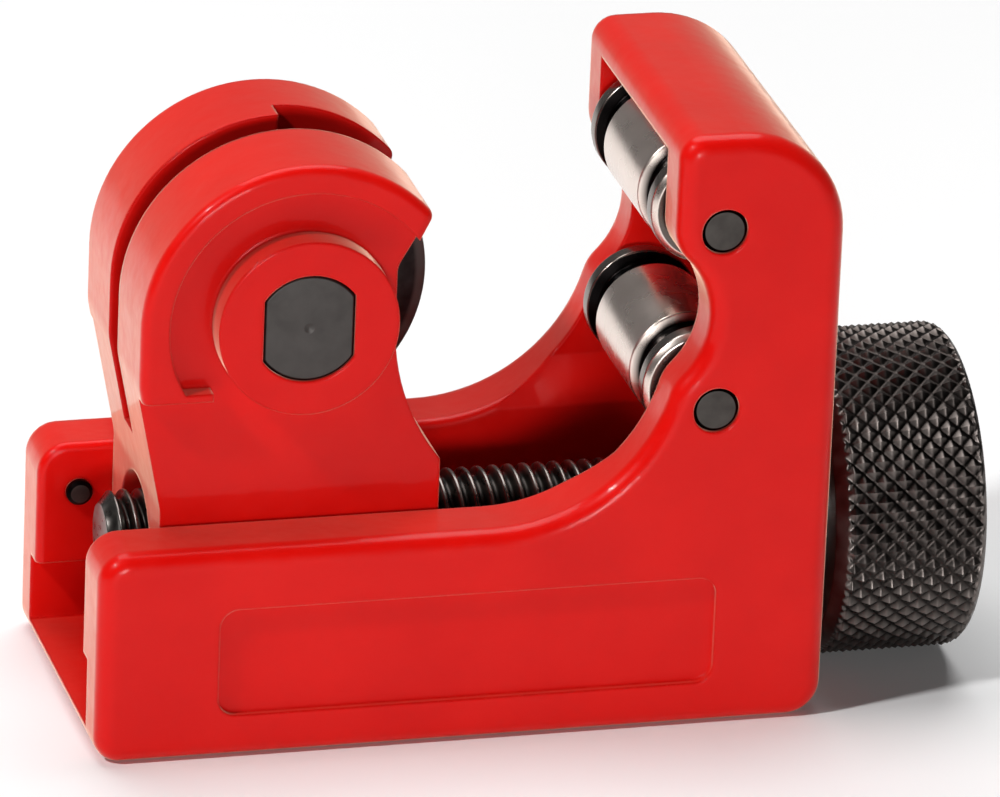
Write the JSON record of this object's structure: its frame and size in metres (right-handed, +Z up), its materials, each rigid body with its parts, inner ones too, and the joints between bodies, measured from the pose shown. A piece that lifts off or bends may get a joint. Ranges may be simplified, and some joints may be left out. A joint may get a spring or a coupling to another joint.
{
  "type": "pipe cutter",
  "caption": "Mini tube cutter: red channel body with a hood, steel rollers, a sliding cheek block that carries the cutter wheel, and a knurled knob on a screw spindle.",
  "frame": {"origin": "centre of the body casting's flat base", "axes": "+X along the spindle towards the knob, -Y is the front, +Z up from the base to the hood"},
  "size_m": [0.0578, 0.023, 0.0397],
  "materials": {
    "red_paint": "glossy paint over a slightly rough die casting",
    "roller_steel": "ground, bright",
    "pin_steel": "dark, sawn ends",
    "wheel_pin_steel": "black oxide",
    "spindle_steel": "black oxide, oiled",
    "knob_steel": "black oxide, knurled",
    "wheel_steel": "black oxide with a ground edge",
    "small_steel": "bright zinc"
  },
  "bodies": {
    "frame": {"body_casting": "red_paint", "upper_roller_pin": "pin_steel", "lower_roller_pin": "pin_steel", "stop_pin": "pin_steel"},
    "screw": {"spindle": "spindle_steel", "retaining_ring": "small_steel", "thrust_washer": "small_steel", "knob": "knob_steel", "knob_cross_pin": "small_steel"},
    "slider": {"slider_casting": "red_paint", "wheel_pin": "wheel_pin_steel", "wheel_pin_clip": "small_steel"},
    "wheel": {"cutter_wheel": "wheel_steel"},
    "roller_up": {"upper_roller": "roller_steel"},
    "roller_low": {"lower_roller": "roller_steel"}
  },
  "joints": [
    {"name": "knob_turn", "type": "hinge", "parent": "frame", "child": "screw", "pos_m": [0, 0, 0.0105], "axis": [-1, 0, 0], "range_deg": [-361, 4861]},
    {"name": "slider_travel", "type": "slide", "parent": "frame", "child": "slider", "axis": [1, 0, 0], "range_m": [-0.001, 0.0135]},
    {"name": "wheel_spin", "type": "hinge", "parent": "slider", "child": "wheel", "pos_m": [-0.01, 0, 0.0275], "axis": [0, 1, 0], "continuous": true},
    {"name": "upper_roller_spin", "type": "hinge", "parent": "frame", "child": "roller_up", "pos_m": [0.01562, 0, 0.0335], "axis": [0, 1, 0], "continuous": true},
    {"name": "lower_roller_spin", "type": "hinge", "parent": "frame", "child": "roller_low", "pos_m": [0.01562, 0, 0.0215], "axis": [0, 1, 0], "continuous": true}
  ],
  "couplings": [
    {"joint": "knob_turn", "follows": "slider_travel", "rad_per_m": 6283.2}
  ]
}
